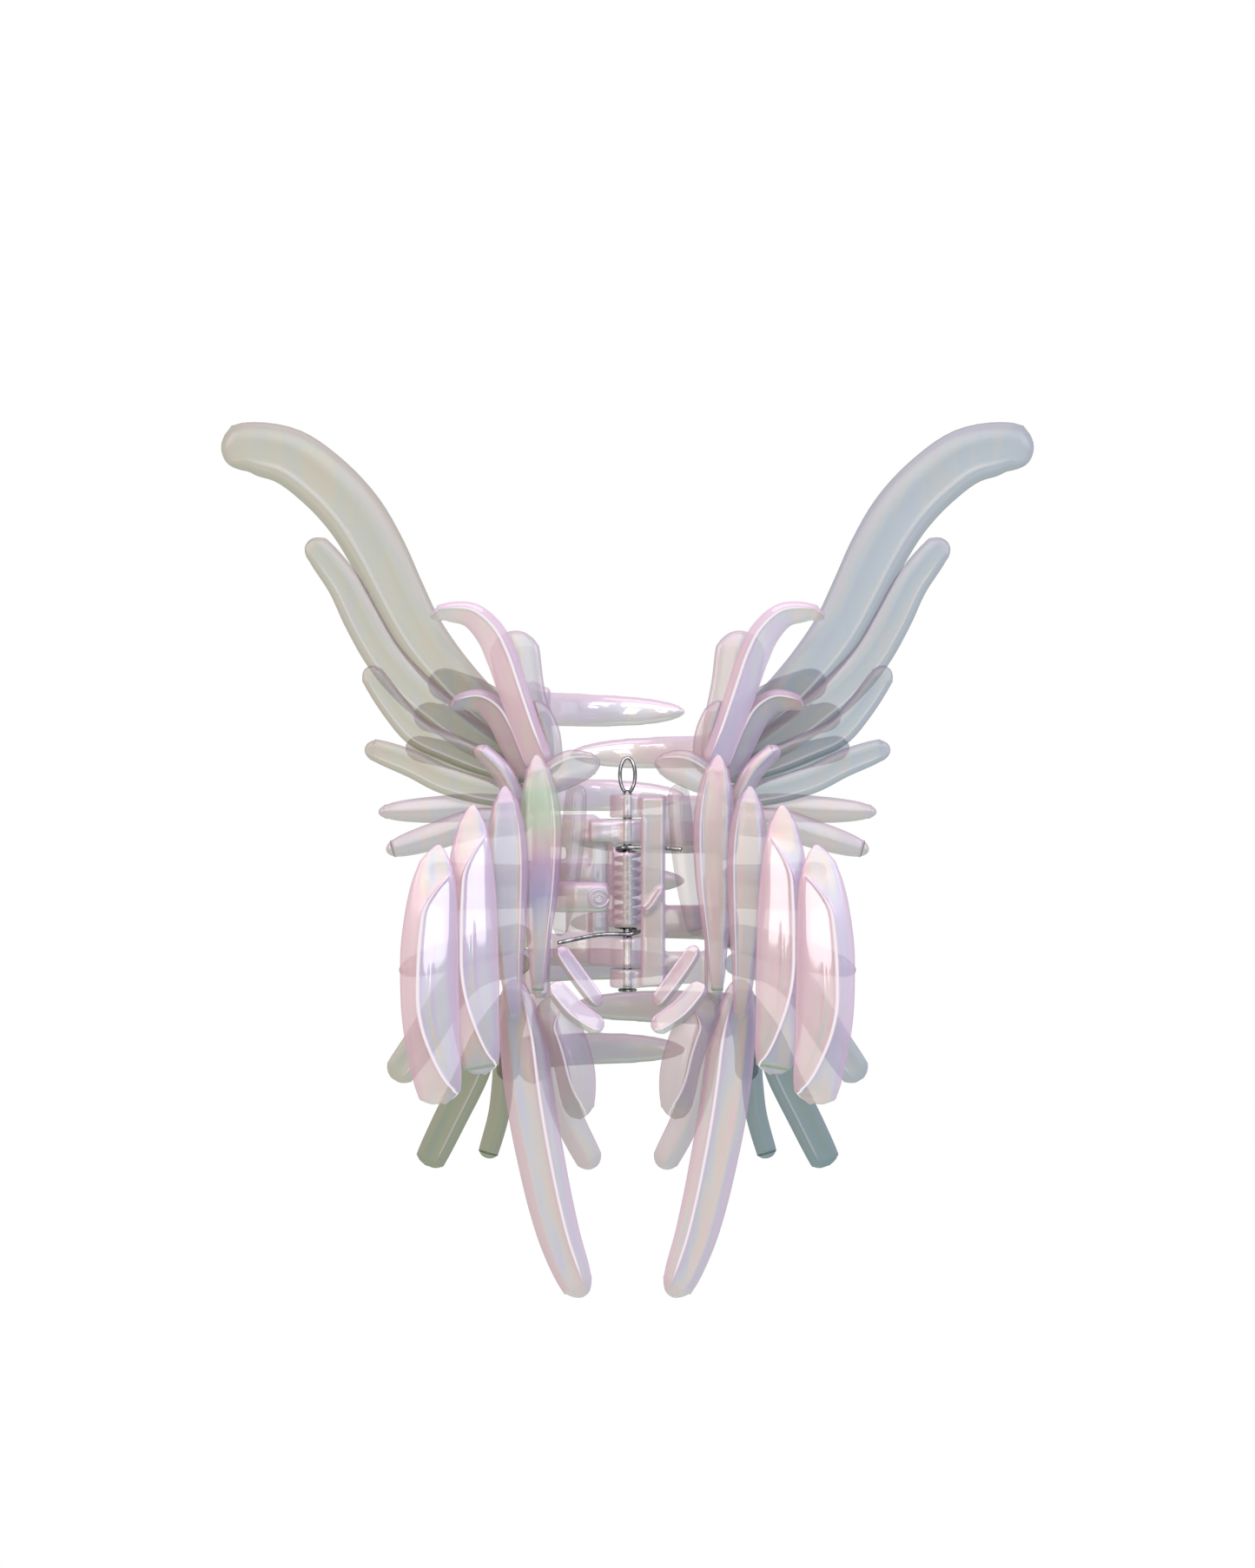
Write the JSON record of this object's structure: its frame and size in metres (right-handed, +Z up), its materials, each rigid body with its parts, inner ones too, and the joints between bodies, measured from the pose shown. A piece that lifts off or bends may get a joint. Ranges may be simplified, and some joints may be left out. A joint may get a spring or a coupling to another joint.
{
  "type": "wing hair claw",
  "caption": "Spring-loaded hair claw shaped as fairy wings: mirrored jaws of layered pearl resin feathers and interlocking teeth that turn on an upright hinge pin.",
  "frame": {"origin": "centre of the hinge pin's flat foot, on the hinge axis", "axes": "+Z up along the pin, +X to the viewer's right, +Y away from the viewer, from the finger levers towards the gathered hair"},
  "size_m": [0.1586, 0.0666, 0.1687],
  "materials": {
    "pearl_warm": "translucent pearl resin, warm grey-green with pink and lilac lustre",
    "pearl_cool": "translucent pearl resin, cool blue-grey with pink and lilac lustre",
    "spring_steel": "bright drawn steel wire"
  },
  "bodies": {
    "hinge": {"hinge_pin": "spring_steel", "torsion_spring": "spring_steel"},
    "right_wing": {"right_jaw": "pearl_cool", "right_primary_1": "pearl_cool", "right_primary_2": "pearl_cool", "right_primary_3": "pearl_cool", "right_primary_4": "pearl_cool", "right_primary_5": "pearl_cool", "right_primary_6": "pearl_cool", "right_secondary_1": "pearl_cool", "right_secondary_2": "pearl_cool", "right_secondary_3": "pearl_cool", "right_tail_1": "pearl_cool", "right_tail_2": "pearl_cool", "right_tail_3": "pearl_cool", "right_tail_4": "pearl_cool", "right_tail_5": "pearl_cool", "right_tail_6": "pearl_cool", "right_inner_1": "pearl_cool", "right_inner_2": "pearl_cool", "right_crest_1": "pearl_cool", "right_crest_2": "pearl_cool", "right_curl_1": "pearl_cool", "right_curl_2": "pearl_cool", "right_curl_3": "pearl_cool", "right_covert_1": "pearl_cool", "right_covert_2": "pearl_cool", "right_covert_3": "pearl_cool", "right_covert_4": "pearl_cool", "right_lever_petal": "pearl_cool", "right_lever_blade": "pearl_cool"},
    "left_wing": {"left_jaw": "pearl_warm", "left_primary_1": "pearl_warm", "left_primary_2": "pearl_warm", "left_primary_3": "pearl_warm", "left_primary_4": "pearl_warm", "left_primary_5": "pearl_warm", "left_primary_6": "pearl_warm", "left_secondary_1": "pearl_warm", "left_secondary_2": "pearl_warm", "left_secondary_3": "pearl_warm", "left_tail_1": "pearl_warm", "left_tail_2": "pearl_warm", "left_tail_3": "pearl_warm", "left_tail_4": "pearl_warm", "left_tail_5": "pearl_warm", "left_tail_6": "pearl_warm", "left_inner_1": "pearl_warm", "left_inner_2": "pearl_warm", "left_crest_1": "pearl_warm", "left_crest_2": "pearl_warm", "left_curl_1": "pearl_warm", "left_curl_2": "pearl_warm", "left_curl_3": "pearl_warm", "left_covert_1": "pearl_warm", "left_covert_2": "pearl_warm", "left_covert_3": "pearl_warm", "left_covert_4": "pearl_warm", "left_lever_petal": "pearl_warm", "left_lever_blade": "pearl_warm"}
  },
  "joints": [
    {"name": "right_hinge", "type": "hinge", "parent": "hinge", "child": "right_wing", "pos_m": [0, 0, 0], "axis": [0, 0, -1], "range_deg": [0, 28], "deforming": ["torsion_spring"]},
    {"name": "left_hinge", "type": "hinge", "parent": "hinge", "child": "left_wing", "pos_m": [0, 0, 0], "axis": [0, 0, 1], "range_deg": [0, 28]}
  ],
  "couplings": [
    {"joint": "left_hinge", "follows": "right_hinge", "ratio": 1}
  ]
}
